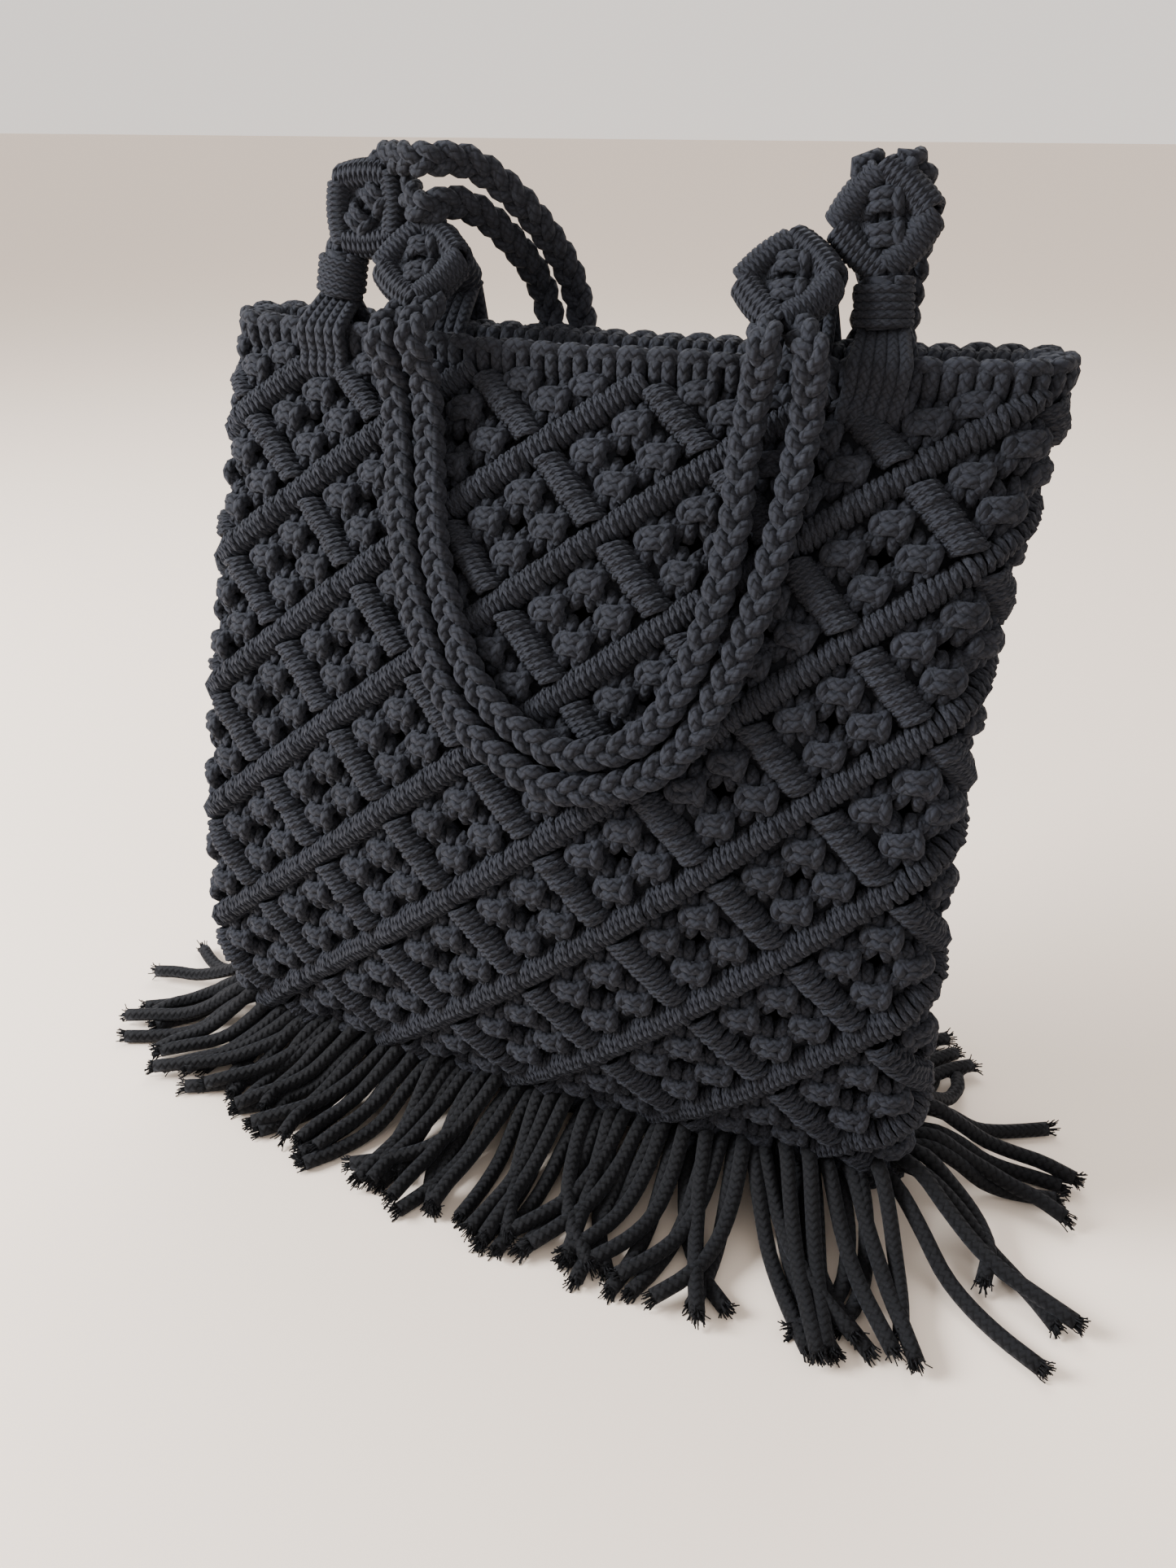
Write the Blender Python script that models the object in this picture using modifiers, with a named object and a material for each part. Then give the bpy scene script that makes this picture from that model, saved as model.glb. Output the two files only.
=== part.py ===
# Macrame bag: a tote knotted in the round from soft braided cord, with a lark's head rim,
# four knotted tabs, two handles of two braids each, and a fringe that lies on the table.
# Metres, +Z up. The bag's front looks along -Y and +X is the viewer's right.
# The origin is the middle of the flat foot that the bag stands on.
import math

import bmesh
import bpy
import numpy as np
from mathutils import Matrix, Vector

# Driving dimensions of the bag
HALF_WIDTH = 0.175          # half the width at the widest row
NET_HEIGHT = 0.350          # knotted net, from the foot to the rim
HALF_DEPTH = 0.033          # half the depth at the belly
EDGE_HALF_DEPTH = 0.0160    # half the depth at the side folds
BELLY_FORWARD = 0.029       # how far the belly's middle stands forward of the foot's
TOP_SHIFT = 0.013           # the rim's middle lies this far to the right of the foot's
ENDS_BACK = 0.008           # the rim's ends lie this far behind its middle
RIM_SAG = 0.003             # the rim's middle hangs this far below its ends
WALL = 0.0062               # thickness of the knotted wall
GAP = 0.0003                # clearance between touching pieces

# The net: a lattice of diamonds, counted in half diamonds round and up
COLUMNS = 20
ROWS = 11
SPIRAL = -0.64              # columns that the net twists by from foot to rim
ROW_STRETCH = 0.167          # the lower rows are pulled taller than the upper ones
RIB_RISE = 0.0026           # how far a rib's crest stands out of the wall
KNOT_RISE = 0.0015          # how far the square knots stand out beside the gap
RIB_FOOT = 0.73             # where a rib ends, as a share from a diamond's middle to its edge
GAP_SHARE = 0.14            # half a gap's diagonal, as a share of a half diamond

# Sections of the bag, low to high, with lengths as shares of the sizes above
# height share, half width share, belly share, half depth share
SECTIONS = (
    (0.00, 0.968, 0.00, 0.56),
    (0.15, 1.000, 0.85, 0.85),
    (0.40, 0.966, 1.00, 1.00),
    (0.70, 0.946, 0.36, 0.79),
    (1.00, 0.982, -0.94, 0.56),
)

# Rim: a row of lark's heads on a ring of cord
RIM_HEIGHT = 0.015
RIM_THICKNESS = 0.009
RIM_GAP = 0.0012

# Foot and fringe
FOOT_HEIGHT = 0.007
FOOT_INSET = 0.001
TRIM = 0.0015               # cut off the net's lower edge to make it flat
FRINGE_LENGTH = 0.096
LOCKS = 30
LOCK_WIDTH = 0.0215
LOCK_ROOT = 0.004           # how far a lock reaches into the foot
FRINGE_FAN = 0.7            # how strongly the locks spread at the bag's ends
END_SHORTENING = 0.24       # how much less far the locks reach at the bag's ends

# Tabs: a loop of cords through the net below the rim, a wrapped neck and a knotted diamond
LOOP_WIDTH = 0.015
LOOP_THICKNESS = 0.0045
LOOP_DROP = 0.012           # from the rim's lower edge down to the loop's inside
WRAP_HEIGHT = 0.018
WRAP_RADIUS = 0.0088
DIAMOND_SIZE = 0.037        # corner to corner
DIAMOND_THICKNESS = 0.010

# Handles: each of two three-strand braids
BRAID_RADIUS = 0.0062
BRAID_SPACING = 0.0078      # half the distance between the two braids at a tab
BRAID_STEP = 0.018          # distance between the points of a braid's tube


def smooth_table(rows, column, share):
    """Value of a table's column at a height share, on a smooth curve through its rows."""
    xs = [row[0] for row in rows]
    ys = [row[column] for row in rows]
    share = min(max(share, xs[0]), xs[-1])
    i = 0
    while i < len(xs) - 2 and share > xs[i + 1]:
        i += 1

    def slope(k):
        a = max(k - 1, 0)
        b = min(k + 1, len(xs) - 1)
        return (ys[b] - ys[a]) / (xs[b] - xs[a])

    span = xs[i + 1] - xs[i]
    t = (share - xs[i]) / span
    return (ys[i] * (2 * t ** 3 - 3 * t ** 2 + 1) + ys[i + 1] * (3 * t ** 2 - 2 * t ** 3)
            + span * slope(i) * (t ** 3 - 2 * t ** 2 + t) + span * slope(i + 1) * (t ** 3 - t ** 2))


outlines = {}


def outline(share):
    """The bag's outer outline at a height share: x, y and arc length, from the front's middle."""
    if share in outlines:
        return outlines[share]
    half_width = HALF_WIDTH * smooth_table(SECTIONS, 1, share)
    centre = -BELLY_FORWARD * smooth_table(SECTIONS, 2, share)
    depth = HALF_DEPTH * smooth_table(SECTIONS, 3, share)
    straight = half_width - EDGE_HALF_DEPTH
    front = []
    for t in np.linspace(0, 1, 60):
        x = t * straight
        front.append((x, -EDGE_HALF_DEPTH - (depth - EDGE_HALF_DEPTH) * (1 - t * t) ** 1.5))
    for angle in np.linspace(-math.pi / 2, 0, 13)[1:]:
        front.append((straight + EDGE_HALF_DEPTH * math.cos(angle), EDGE_HALF_DEPTH * math.sin(angle)))
    right = front + [(x, -y) for x, y in reversed(front[:-1])]
    points = np.array(right + [(-x, y) for x, y in reversed(right[1:-1])] + [right[0]])
    xs = points[:, 0]
    ys = points[:, 1] + ENDS_BACK * share * (xs / half_width) ** 2
    arc = np.concatenate([[0], np.cumsum(np.hypot(np.diff(xs), np.diff(ys)))])
    outlines[share] = (xs + TOP_SHIFT * share, ys + centre, arc, half_width)
    return outlines[share]


def net_point(column, row):
    """Point of the wall's outer face at a column and row of the net."""
    share = row / ROWS
    xs, ys, arc, half_width = outline(share)
    place = ((column - SPIRAL * share) / COLUMNS) % 1.0 * arc[-1]
    x = np.interp(place, arc, xs)
    y = np.interp(place, arc, ys)
    across = (x - TOP_SHIFT * share) / half_width
    rise = share + ROW_STRETCH * share * (1 - share)
    z = FOOT_HEIGHT + GAP - TRIM + NET_HEIGHT * rise - RIM_SAG * share ** 3 * (1 - across ** 2)
    return Vector((x, y, z))


def net_frame(column, row):
    """Point on the wall's outer face, with the directions along the row, up and outward."""
    step = 0.15
    low = max(row - step, 0)
    high = min(row + step, ROWS)
    along = (net_point(column + step, row) - net_point(column - step, row)).normalized()
    up = net_point(column, high) - net_point(column, low)
    outward = along.cross(up).normalized()
    return net_point(column, row), along, outward.cross(along).normalized(), outward


def column_at(x, side):
    """Column of the net at the rim, at a distance x from the rim's middle, front or back."""
    xs, ys, arc, half_width = outline(1.0)
    half = len(arc) // 2
    quarter = half // 2
    if side == "front":
        place = np.interp(abs(x), xs[:quarter] - TOP_SHIFT, arc[:quarter])
    else:
        mirrored = (xs[quarter + 1:half + 1] - TOP_SHIFT)[::-1]
        place = np.interp(abs(x), mirrored, arc[quarter + 1:half + 1][::-1])
    return math.copysign(place / arc[-1] * COLUMNS, x) + SPIRAL


def wall_y(x, z, side):
    """Y of the wall's outer face at a place across and up the bag, front or back."""
    low = 0.0
    high = 1.0
    for _ in range(30):
        share = (low + high) / 2
        if FOOT_HEIGHT + NET_HEIGHT * (share + ROW_STRETCH * share * (1 - share)) < z:
            low = share
        else:
            high = share
    xs, ys, arc, half_width = outline(round(low, 4))
    half = len(arc) // 2
    quarter = half // 2
    if side == "front":
        order = np.concatenate([np.arange(half + quarter, len(arc)), np.arange(1, quarter)])
    else:
        order = np.arange(half + quarter, quarter, -1)
    return float(np.interp(x, xs[order], ys[order]))


def material(name, colour, roughness):
    made = bpy.data.materials.new(name)
    made.use_nodes = True
    shader = made.node_tree.nodes["Principled BSDF"]
    shader.inputs["Base Color"].default_value = (*colour, 1.0)
    shader.inputs["Roughness"].default_value = roughness
    shader.inputs["Metallic"].default_value = 0.0
    return made


def place(name, mesh_or_bmesh, finish, collection):
    """A new object from a bmesh or mesh, in a collection, with its material."""
    mesh = mesh_or_bmesh
    if isinstance(mesh_or_bmesh, bmesh.types.BMesh):
        mesh = bpy.data.meshes.new(name)
        mesh_or_bmesh.to_mesh(mesh)
        mesh_or_bmesh.free()
    made = bpy.data.objects.new(name, mesh)
    collection.objects.link(made)
    if finish:
        mesh.materials.append(finish)
    return made


def solidify(piece, thickness):
    shell = piece.modifiers.new("wall", "SOLIDIFY")
    shell.thickness = thickness
    shell.offset = -1
    return shell


def hide_cutter(piece):
    piece.hide_render = True
    piece.display_type = "WIRE"


# Corners and edge middles of a diamond, round from its foot, in half diamonds
DIAMOND_RING = ((0, -1), (0.5, -0.5), (1, 0), (0.5, 0.5), (0, 1), (-0.5, 0.5), (-1, 0), (-0.5, -0.5))


def build_net(finish, collection, cutters):
    """The wall: a sheet of ribbed diamonds with a gap in each, given its thickness."""
    bm = bmesh.new()
    made = {}

    def vertex(column, row, rise):
        key = (round(column % COLUMNS, 3), round(row, 3))
        if key not in made:
            point, along, up, outward = net_frame(*key)
            made[key] = bm.verts.new(point + rise * outward)
        return made[key]

    def ring(column, row, share, rise, offsets):
        return [vertex(column + share * across, row + share * up, rise) for across, up in offsets]

    for row in range(ROWS + 1):
        for column in range(COLUMNS):
            if (column + row) % 2:
                continue
            if row == 0:
                offsets = DIAMOND_RING[2:7]
            elif row == ROWS:
                offsets = (DIAMOND_RING[6], DIAMOND_RING[7], *DIAMOND_RING[:3])
            else:
                offsets = DIAMOND_RING
            crest = ring(column, row, 1, RIB_RISE, offsets)
            foot = ring(column, row, RIB_FOOT, 0, offsets)
            whole = 0 < row < ROWS
            for i in range(len(offsets) if whole else len(offsets) - 1):
                j = (i + 1) % len(offsets)
                bm.faces.new((crest[i], crest[j], foot[j], foot[i]))
            if not whole:
                middle = vertex(column, row, 0)
                first = vertex(column + RIB_FOOT * offsets[0][0] / 2, row, 0)
                last = vertex(column + RIB_FOOT * offsets[-1][0] / 2, row, 0)
                bm.faces.new((foot[0], foot[1], first))
                bm.faces.new((foot[1], foot[2], middle, first))
                bm.faces.new((foot[2], foot[3], last, middle))
                bm.faces.new((foot[3], foot[4], last))
                continue
            gap = ring(column, row, GAP_SHARE, KNOT_RISE, DIAMOND_RING[::2])
            for i in range(4):
                here, between, after = foot[2 * i], foot[2 * i + 1], foot[(2 * i + 2) % 8]
                bm.faces.new((here, between, gap[i]))
                bm.faces.new((between, after, gap[(i + 1) % 4]))
                bm.faces.new((between, gap[(i + 1) % 4], gap[i]))
    wall = place("bag_wall", bm, finish, collection)
    solidify(wall, WALL)
    trimming = wall.modifiers.new("flat lower edge and tab slots", "BOOLEAN")
    trimming.operand_type = "COLLECTION"
    trimming.collection = cutters
    trimming.operation = "DIFFERENCE"
    return wall


def box_mesh(size, matrix):
    bm = bmesh.new()
    bmesh.ops.create_cube(bm, size=1.0)
    bmesh.ops.scale(bm, vec=size, verts=bm.verts)
    bmesh.ops.transform(bm, matrix=matrix, verts=bm.verts)
    return bm


def build_foot_cutter(cutters):
    """Box whose top cuts the net's lower edge flat, just above the foot."""
    height = 4 * FOOT_HEIGHT
    centre = Matrix.Translation((0, 0, FOOT_HEIGHT + GAP - height / 2))
    cutter = place("lower_edge_cutter", box_mesh((3 * HALF_WIDTH, 8 * HALF_DEPTH, height), centre), None, cutters)
    hide_cutter(cutter)


def build_rim(finish, collection):
    """Ring of lark's heads along the net's upper edge."""
    # share of the rim's height, how far it stands out
    levels = ((0.0, 0.0010), (0.5, 0.0024), (1.0, 0.0004))
    bm = bmesh.new()
    rings = []
    for level, rise in levels:
        ring = []
        for step in range(2 * COLUMNS):
            point, along, up, outward = net_frame(step / 2, ROWS)
            ring.append(bm.verts.new(point + up * (RIM_GAP + level * (RIM_HEIGHT - RIM_GAP)) + outward * rise))
        rings.append(ring)
    for low, high in zip(rings, rings[1:]):
        for i in range(len(low)):
            j = (i + 1) % len(low)
            bm.faces.new((low[i], low[j], high[j], high[i]))
    rim = place("rim_row", bm, finish, collection)
    solidify(rim, RIM_THICKNESS)


def add_strip(bm, path, widths, heights):
    """A closed strip on the floor along a path, with a width and a height at each point."""
    rings = []
    for i, point in enumerate(path):
        before = path[max(i - 1, 0)]
        after = path[min(i + 1, len(path) - 1)]
        ahead = (after - before).normalized()
        side = Vector((-ahead.y, ahead.x, 0)) * widths[i] / 2
        top = Vector((0, 0, heights[i]))
        rings.append([bm.verts.new(p) for p in (point - side, point + side, point + 0.8 * side + top,
                                                point - 0.8 * side + top)])
    for low, high in zip(rings, rings[1:]):
        for i in range(4):
            j = (i + 1) % 4
            bm.faces.new((low[i], low[j], high[j], high[i]))
    bm.faces.new(rings[0][::-1])
    bm.faces.new(rings[-1])


def build_fringe(finish, collection, cutters_hidden):
    """Foot of tied cords that closes the bag, with the fringe's locks fused to it."""
    xs, ys, arc, half_width = outline(0.0)
    bm = bmesh.new()
    border = []
    for i in range(2 * COLUMNS):
        place_on = i / (2 * COLUMNS) * arc[-1]
        x = np.interp(place_on, arc, xs)
        y = np.interp(place_on, arc, ys)
        shrink_x = 1 - FOOT_INSET / half_width
        shrink_y = 1 - FOOT_INSET / EDGE_HALF_DEPTH
        border.append(bm.verts.new((x * shrink_x, y * shrink_y, 0)))
    base = bm.faces.new(border)
    grown = bmesh.ops.extrude_face_region(bm, geom=[base])
    raised = [v for v in grown["geom"] if isinstance(v, bmesh.types.BMVert)]
    bmesh.ops.translate(bm, vec=(0, 0, FOOT_HEIGHT), verts=raised)
    bmesh.ops.recalc_face_normals(bm, faces=bm.faces)
    foot = place("fringe", bm, finish, collection)

    # share of the length, width share, height share of the foot's height
    lock_shape = ((0.0, 0.75, 0.85), (0.06, 0.80, 0.85), (0.26, 0.90, 1.60), (0.55, 0.95, 1.10), (1.0, 1.0, 0.80))
    locks = bmesh.new()
    for i in range(LOCKS):
        place_on = (i + 0.5) / LOCKS * arc[-1]
        root = Vector((np.interp(place_on, arc, xs), np.interp(place_on, arc, ys), 0))
        step = arc[-1] / COLUMNS / 8
        after = np.array([np.interp((place_on + step) % arc[-1], arc, v) for v in (xs, ys)])
        before = np.array([np.interp((place_on - step) % arc[-1], arc, v) for v in (xs, ys)])
        along = Vector((*(after - before), 0)).normalized()
        outward = Vector((along.y, -along.x, 0))
        across = root.x / half_width
        outward = (outward + Vector((FRINGE_FAN * across ** 3, 0, 0))).normalized()
        start = root - outward * LOCK_ROOT
        reach = FRINGE_LENGTH * (1 - END_SHORTENING * across ** 4) + LOCK_ROOT
        path = [start + outward * share * reach for share, _, _ in lock_shape]
        widths = [LOCK_WIDTH * width for _, width, _ in lock_shape]
        heights = [FOOT_HEIGHT * height for _, _, height in lock_shape]
        add_strip(locks, path, widths, heights)
    bmesh.ops.recalc_face_normals(locks, faces=locks.faces)
    lock_piece = place("fringe_locks_to_join", locks, finish, cutters_hidden)
    hide_cutter(lock_piece)
    join = foot.modifiers.new("locks", "BOOLEAN")
    join.operation = "UNION"
    join.use_self = True
    join.object = lock_piece


# Tabs: the place across from the rim's middle is a share of HALF_WIDTH, and the leans are degrees
# forward of upright and towards the bag's middle
# name, side, place across, neck's length share, neck's two leans, diamond's two leans
TABS = (
    ("left_front", "front", -0.686, 1.0, -6, 8, -10, 40),
    ("right_front", "front", 0.629, 1.0, -6, 6, -12, 8),
    ("left_back", "back", -0.451, 1.9, 52, 2, 140, 10),
    ("right_back", "back", 0.434, 1.9, 52, 2, 140, -4),
)


def direction(forward, inward, end):
    """Unit vector that leans forward, then towards the bag's middle, from straight up."""
    forward = math.radians(forward)
    inward = math.radians(inward)
    upright = Vector((0, -math.sin(forward), math.cos(forward)))
    return (upright * math.cos(inward) + Vector((-end * math.sin(inward), 0, 0))).normalized()


def axes_to_matrix(origin, x_axis, y_axis, z_axis):
    return Matrix((x_axis, y_axis, z_axis)).transposed().to_4x4() if origin is None else (
        Matrix.Translation(origin) @ Matrix((x_axis, y_axis, z_axis)).transposed().to_4x4())


def build_loop(name, side, across, finish, collection, cutters):
    """Loop of cords round the rim and through a slot in the net; returns where its neck stands."""
    point, along, up, outward = net_frame(column_at(across * HALF_WIDTH, side), ROWS)
    matrix = axes_to_matrix(point, outward, up, -along)
    near = RIB_RISE + GAP
    far = -max(RIM_THICKNESS - 0.0004, WALL) - GAP
    low = -LOOP_DROP
    high = RIM_HEIGHT + GAP
    curve = bpy.data.curves.new(name, "CURVE")
    curve.dimensions = "2D"
    curve.fill_mode = "BOTH"
    curve.extrude = LOOP_WIDTH / 2
    grow = LOOP_THICKNESS
    corner = 0.6 * grow
    outer = ((far - grow + corner, low - grow), (near + grow - corner, low - grow), (near + grow, low - grow + corner),
             (near + grow, high + grow - corner), (near + grow - corner, high + grow),
             (far - grow + corner, high + grow), (far - grow, high + grow - corner), (far - grow, low - grow + corner))
    inner = ((far, low), (far, high), (near, high), (near, low))
    for points in (outer, inner):
        spline = curve.splines.new("POLY")
        spline.points.add(len(points) - 1)
        for made, (across, height) in zip(spline.points, points):
            made.co = (across, height, 0, 1)
        spline.use_cyclic_u = True
    drawn = bpy.data.objects.new(name, curve)
    collection.objects.link(drawn)
    drawn.matrix_world = matrix
    bpy.context.view_layer.update()
    shaped = bpy.data.meshes.new_from_object(drawn.evaluated_get(bpy.context.evaluated_depsgraph_get()))
    bpy.data.objects.remove(drawn)
    bm = bmesh.new()
    bm.from_mesh(shaped)
    bmesh.ops.remove_doubles(bm, verts=bm.verts, dist=0.00001)
    bmesh.ops.recalc_face_normals(bm, faces=bm.faces)
    loop = place("tab_loop_" + name, bm, finish, collection)
    loop.matrix_world = matrix

    slot_height = LOOP_THICKNESS + 4 * GAP
    centre = point + up * (low - LOOP_THICKNESS / 2) - outward * WALL / 2
    slot = box_mesh((4 * WALL, slot_height, LOOP_WIDTH + 4 * GAP), axes_to_matrix(centre, outward, up, -along))
    hide_cutter(place("slot_cutter_" + name, slot, None, cutters))
    middle = near if side == "front" else (near + far) / 2
    return point + up * (high + grow) + outward * middle, up


def build_wrap(name, base, axis, length, finish, collection):
    """Neck of the tab: cord wound round the bundle; returns the middle of its top."""
    bm = bmesh.new()
    bmesh.ops.create_cone(bm, cap_ends=True, segments=12, radius1=WRAP_RADIUS, radius2=WRAP_RADIUS, depth=length)
    bmesh.ops.scale(bm, vec=(1.0, 0.8, 1.0), verts=bm.verts)
    wrap = place("tab_wrap_" + name, bm, finish, collection)
    wrap.location = base + axis * length / 2
    wrap.rotation_euler = axis.to_track_quat("Z", "Y").to_euler()
    return base + axis * length


def build_diamond(name, base, axis, finish, collection):
    """Knotted diamond above the neck, with a raised border; returns its far corner."""
    side = (Vector((1, 0, 0)) - axis * axis.x).normalized()
    facing = side.cross(axis).normalized()
    # share of the half diagonal, share of the half thickness
    levels = ((0.0, 0.72), (0.55, 0.62), (0.80, 1.0), (1.0, 0.45))
    half = DIAMOND_SIZE / 2
    bm = bmesh.new()
    top = bm.verts.new((0, 0, levels[0][1] * DIAMOND_THICKNESS / 2))
    bottom = bm.verts.new((0, 0, -levels[0][1] * DIAMOND_THICKNESS / 2))
    rings = []
    for share, rise in levels[1:] + tuple((s, -r) for s, r in reversed(levels[1:])):
        ring = []
        for across, up in DIAMOND_RING:
            blunt = 0.94 if abs(across) == 1 or abs(up) == 1 else 1.04
            ring.append(bm.verts.new((across * half * share * blunt, up * half * share * blunt,
                                      rise * DIAMOND_THICKNESS / 2)))
        rings.append(ring)
    for i in range(8):
        j = (i + 1) % 8
        bm.faces.new((top, rings[0][i], rings[0][j]))
        bm.faces.new((bottom, rings[-1][j], rings[-1][i]))
        for low, high in zip(rings, rings[1:]):
            bm.faces.new((low[i], high[i], high[j], low[j]))
    bmesh.ops.recalc_face_normals(bm, faces=bm.faces)
    diamond = place("tab_diamond_" + name, bm, finish, collection)
    diamond.matrix_world = axes_to_matrix(base + axis * (half * 0.94 + GAP), side, axis, facing)
    return base + axis * (2 * half * 0.94 + 2 * GAP)


# Routes of the handles between their tabs: the share of HALF_WIDTH across from the rim's middle,
# the share of NET_HEIGHT up, how far the braids stand off the wall and half their distance apart,
# both in radii
FRONT_ROUTE = (
    (-0.417, 1.030, 3.8, 1.15),
    (-0.400, 0.975, 2.4, 1.15),
    (-0.383, 0.920, 1.5, 1.15),
    (-0.314, 0.794, 1.3, 1.12),
    (-0.177, 0.669, 1.3, 1.12),
    (0.000, 0.609, 1.3, 1.12),
    (0.150, 0.600, 1.3, 1.12),
    (0.309, 0.640, 1.3, 1.12),
    (0.405, 0.740, 1.3, 1.15),
    (0.446, 0.849, 1.4, 1.35),
    (0.450, 0.925, 1.5, 1.60),
    (0.460, 0.985, 2.6, 1.60),
    (0.475, 1.045, 4.0, 1.30),
)
BACK_ROUTE = (
    (-0.430, 1.178, -5.6, 1.40),
    (-0.345, 1.178, -3.8, 1.25),
    (-0.262, 1.138, -1.4, 1.15),
    (-0.200, 1.065, 1.4, 1.15),
    (-0.160, 0.970, 1.7, 1.15),
    (-0.130, 0.880, 1.4, 1.15),
    (-0.060, 0.760, 1.3, 1.15),
    (0.060, 0.670, 1.3, 1.15),
    (0.200, 0.640, 1.3, 1.15),
    (0.340, 0.680, 1.3, 1.15),
    (0.450, 0.780, 1.3, 1.15),
    (0.530, 0.900, 1.3, 1.15),
    (0.575, 1.000, 1.7, 1.15),
    (0.590, 1.085, 1.2, 1.15),
    (0.600, 1.165, -0.2, 1.20),
    (0.600, 1.228, -1.9, 1.20),
)


def smooth_path(points, step):
    """Points a step apart along a smooth curve through the given points."""
    dense = []
    for i in range(len(points) - 1):
        a = points[max(i - 1, 0)]
        b = points[i]
        c = points[i + 1]
        d = points[min(i + 2, len(points) - 1)]
        for t in np.linspace(0, 1, 12, endpoint=False):
            dense.append(0.5 * ((2 * b) + (c - a) * t + (2 * a - 5 * b + 4 * c - d) * t ** 2
                                + (3 * b - a - 3 * c + d) * t ** 3))
    dense.append(points[-1])
    lengths = [0.0]
    for before, after in zip(dense, dense[1:]):
        lengths.append(lengths[-1] + (after - before).length)
    count = max(round(lengths[-1] / step), 2)
    result = []
    for i in range(count + 1):
        place_on = lengths[-1] * i / count
        result.append(Vector([np.interp(place_on, lengths, [p[k] for p in dense]) for k in range(3)]))
    return result


def braid_points(route, side, which, start, end):
    """One braid's points from tab to tab; which is 1 for the first braid and -1 for the second."""
    facing = -1 if side == "front" else 1
    xs = [HALF_WIDTH * row[0] for row in route]
    zs = [FOOT_HEIGHT + NET_HEIGHT * row[1] for row in route]
    points = [start[0], start[0] + start[1] * BRAID_RADIUS]
    for i, (across, up, off, apart) in enumerate(route):
        j = max(i - 1, 0)
        k = min(i + 1, len(route) - 1)
        along = Vector((xs[k] - xs[j], 0, zs[k] - zs[j])).normalized()
        shift = beside(along) * which * apart * BRAID_RADIUS
        x = TOP_SHIFT + xs[i] + shift.x
        z = zs[i] + shift.z
        points.append(Vector((x, wall_y(x, z, side) + facing * (RIB_RISE + off * BRAID_RADIUS), z)))
    points += [end[0] + end[1] * BRAID_RADIUS, end[0]]
    return smooth_path(points, BRAID_STEP)


def build_braid(name, points, finish, collection):
    curve = bpy.data.curves.new(name, "CURVE")
    curve.dimensions = "3D"
    curve.bevel_depth = BRAID_RADIUS
    curve.bevel_resolution = 1
    curve.use_fill_caps = True
    spline = curve.splines.new("POLY")
    spline.points.add(len(points) - 1)
    for made, point in zip(spline.points, points):
        made.co = (*point, 1)
    braid = bpy.data.objects.new(name, curve)
    curve.materials.append(finish)
    collection.objects.link(braid)


def beside(travel):
    """Unit vector to the left of a direction of travel, seen from the front."""
    return Vector((-travel.z, 0, travel.x)).normalized()


def build_handle(side, corners, route, finish, collection):
    """The two braids of a handle, from the left tab's far corner to the right tab's."""
    (left, left_axis), (right, right_axis) = corners
    for number, which in ((1, 1), (2, -1)):
        start = left + left_axis * (GAP + 0.0008) + beside(left_axis) * which * BRAID_SPACING
        inward = beside(right_axis)
        inward *= -math.copysign(1, inward.x)
        end = right + right_axis * (GAP + 0.0008) + inward * which * BRAID_SPACING
        points = braid_points(route, side, which, (start, left_axis), (end, right_axis))
        build_braid("handle_braid_%s_%d" % (side, number), points, finish, collection)


def build_bag():
    for old in list(bpy.data.objects):
        bpy.data.objects.remove(old, do_unlink=True)
    bag = bpy.data.collections.new("macrame_bag")
    cutters = bpy.data.collections.new("cutters")
    joined = bpy.data.collections.new("pieces_to_join")
    for made in (bag, cutters, joined):
        bpy.context.scene.collection.children.link(made)
    cord = material("black_cord", (0.014, 0.016, 0.021), 0.9)
    fringe_cord = material("black_fringe_cord", (0.009, 0.010, 0.014), 0.92)

    build_foot_cutter(cutters)
    corners = {}
    for name, side, across, length, neck_forward, neck_inward, diamond_forward, diamond_inward in TABS:
        end = math.copysign(1, across)
        top, up = build_loop(name, side, across, cord, bag, cutters)
        neck = direction(neck_forward, neck_inward, end)
        lift = WRAP_RADIUS * 0.8 * math.sin(neck.angle(up)) + (0.7 * GAP if side == "back" else -1.8 * GAP)
        neck_top = build_wrap(name, top + up * lift, neck, length * WRAP_HEIGHT, cord, bag)
        axis = direction(diamond_forward, diamond_inward, end)
        base = neck_top + neck * (GAP + 0.5 * DIAMOND_THICKNESS * math.sin(neck.angle(axis)))
        corners[name] = (build_diamond(name, base, axis, cord, bag), axis)
    build_net(cord, bag, cutters)
    build_rim(cord, bag)
    build_fringe(fringe_cord, bag, joined)
    build_handle("front", (corners["left_back"], corners["right_back"]), FRONT_ROUTE, cord, bag)
    build_handle("back", (corners["left_front"], corners["right_front"]), BACK_ROUTE, cord, bag)


build_bag()
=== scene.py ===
import math

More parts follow.
